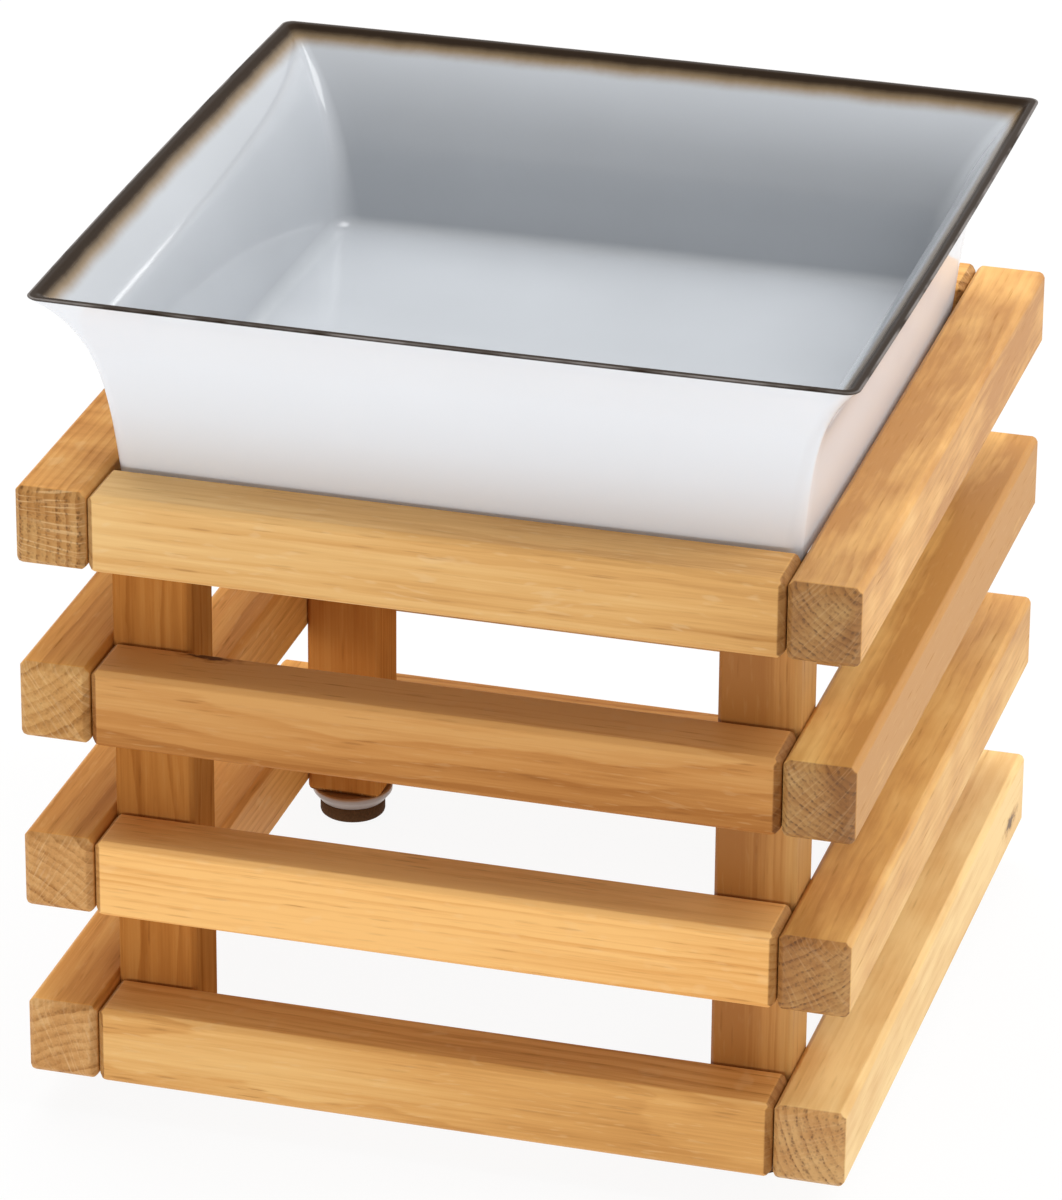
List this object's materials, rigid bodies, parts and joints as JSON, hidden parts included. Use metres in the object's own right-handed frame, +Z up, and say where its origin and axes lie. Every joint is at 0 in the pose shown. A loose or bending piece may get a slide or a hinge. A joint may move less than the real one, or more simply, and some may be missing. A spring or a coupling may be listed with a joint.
{
  "type": "elevated pet bowl",
  "caption": "Square flared glazed bowl resting in the top of a raised slatted oak stand with corner posts on felt glides; it lifts out for washing.",
  "frame": {"origin": "on the floor, under the middle of the stand", "axes": "+Z up; -Y towards the front, where the end grain of the side rails shows; +X to the right"},
  "size_m": [0.25, 0.25, 0.2604],
  "materials": {
    "rail_oak": "satin oiled oak",
    "post_oak": "satin oiled oak",
    "dowel_wood": "plain beech",
    "glide_plastic": "milky translucent",
    "felt": "dark brown felt",
    "screw_steel": "zinc plated",
    "glaze": "glossy white outside, pale blue-grey inside, dark brown rim edge"
  },
  "bodies": {
    "stand": {"rail_left_1": "rail_oak", "rail_right_1": "rail_oak", "rail_front_1": "rail_oak", "rail_back_1": "rail_oak", "rail_left_2": "rail_oak", "rail_right_2": "rail_oak", "rail_front_2": "rail_oak", "rail_back_2": "rail_oak", "rail_left_3": "rail_oak", "rail_right_3": "rail_oak", "rail_front_3": "rail_oak", "rail_back_3": "rail_oak", "rail_left_4": "rail_oak", "rail_right_4": "rail_oak", "rail_front_4": "rail_oak", "rail_back_4": "rail_oak", "post_front_left": "post_oak", "post_front_right": "post_oak", "post_back_left": "post_oak", "post_back_right": "post_oak", "glide_cup_front_left": "glide_plastic", "glide_cup_front_right": "glide_plastic", "glide_cup_back_left": "glide_plastic", "glide_cup_back_right": "glide_plastic", "glide_pad_front_left": "felt", "glide_pad_front_right": "felt", "glide_pad_back_left": "felt", "glide_pad_back_right": "felt", "dowels": "dowel_wood", "glide_screws": "screw_steel"},
    "bowl": {"bowl": "glaze"}
  },
  "joints": [
    {"name": "bowl_lift", "type": "slide", "parent": "stand", "child": "bowl", "axis": [0, 0, 1], "range_m": [0, 0.1]}
  ]
}
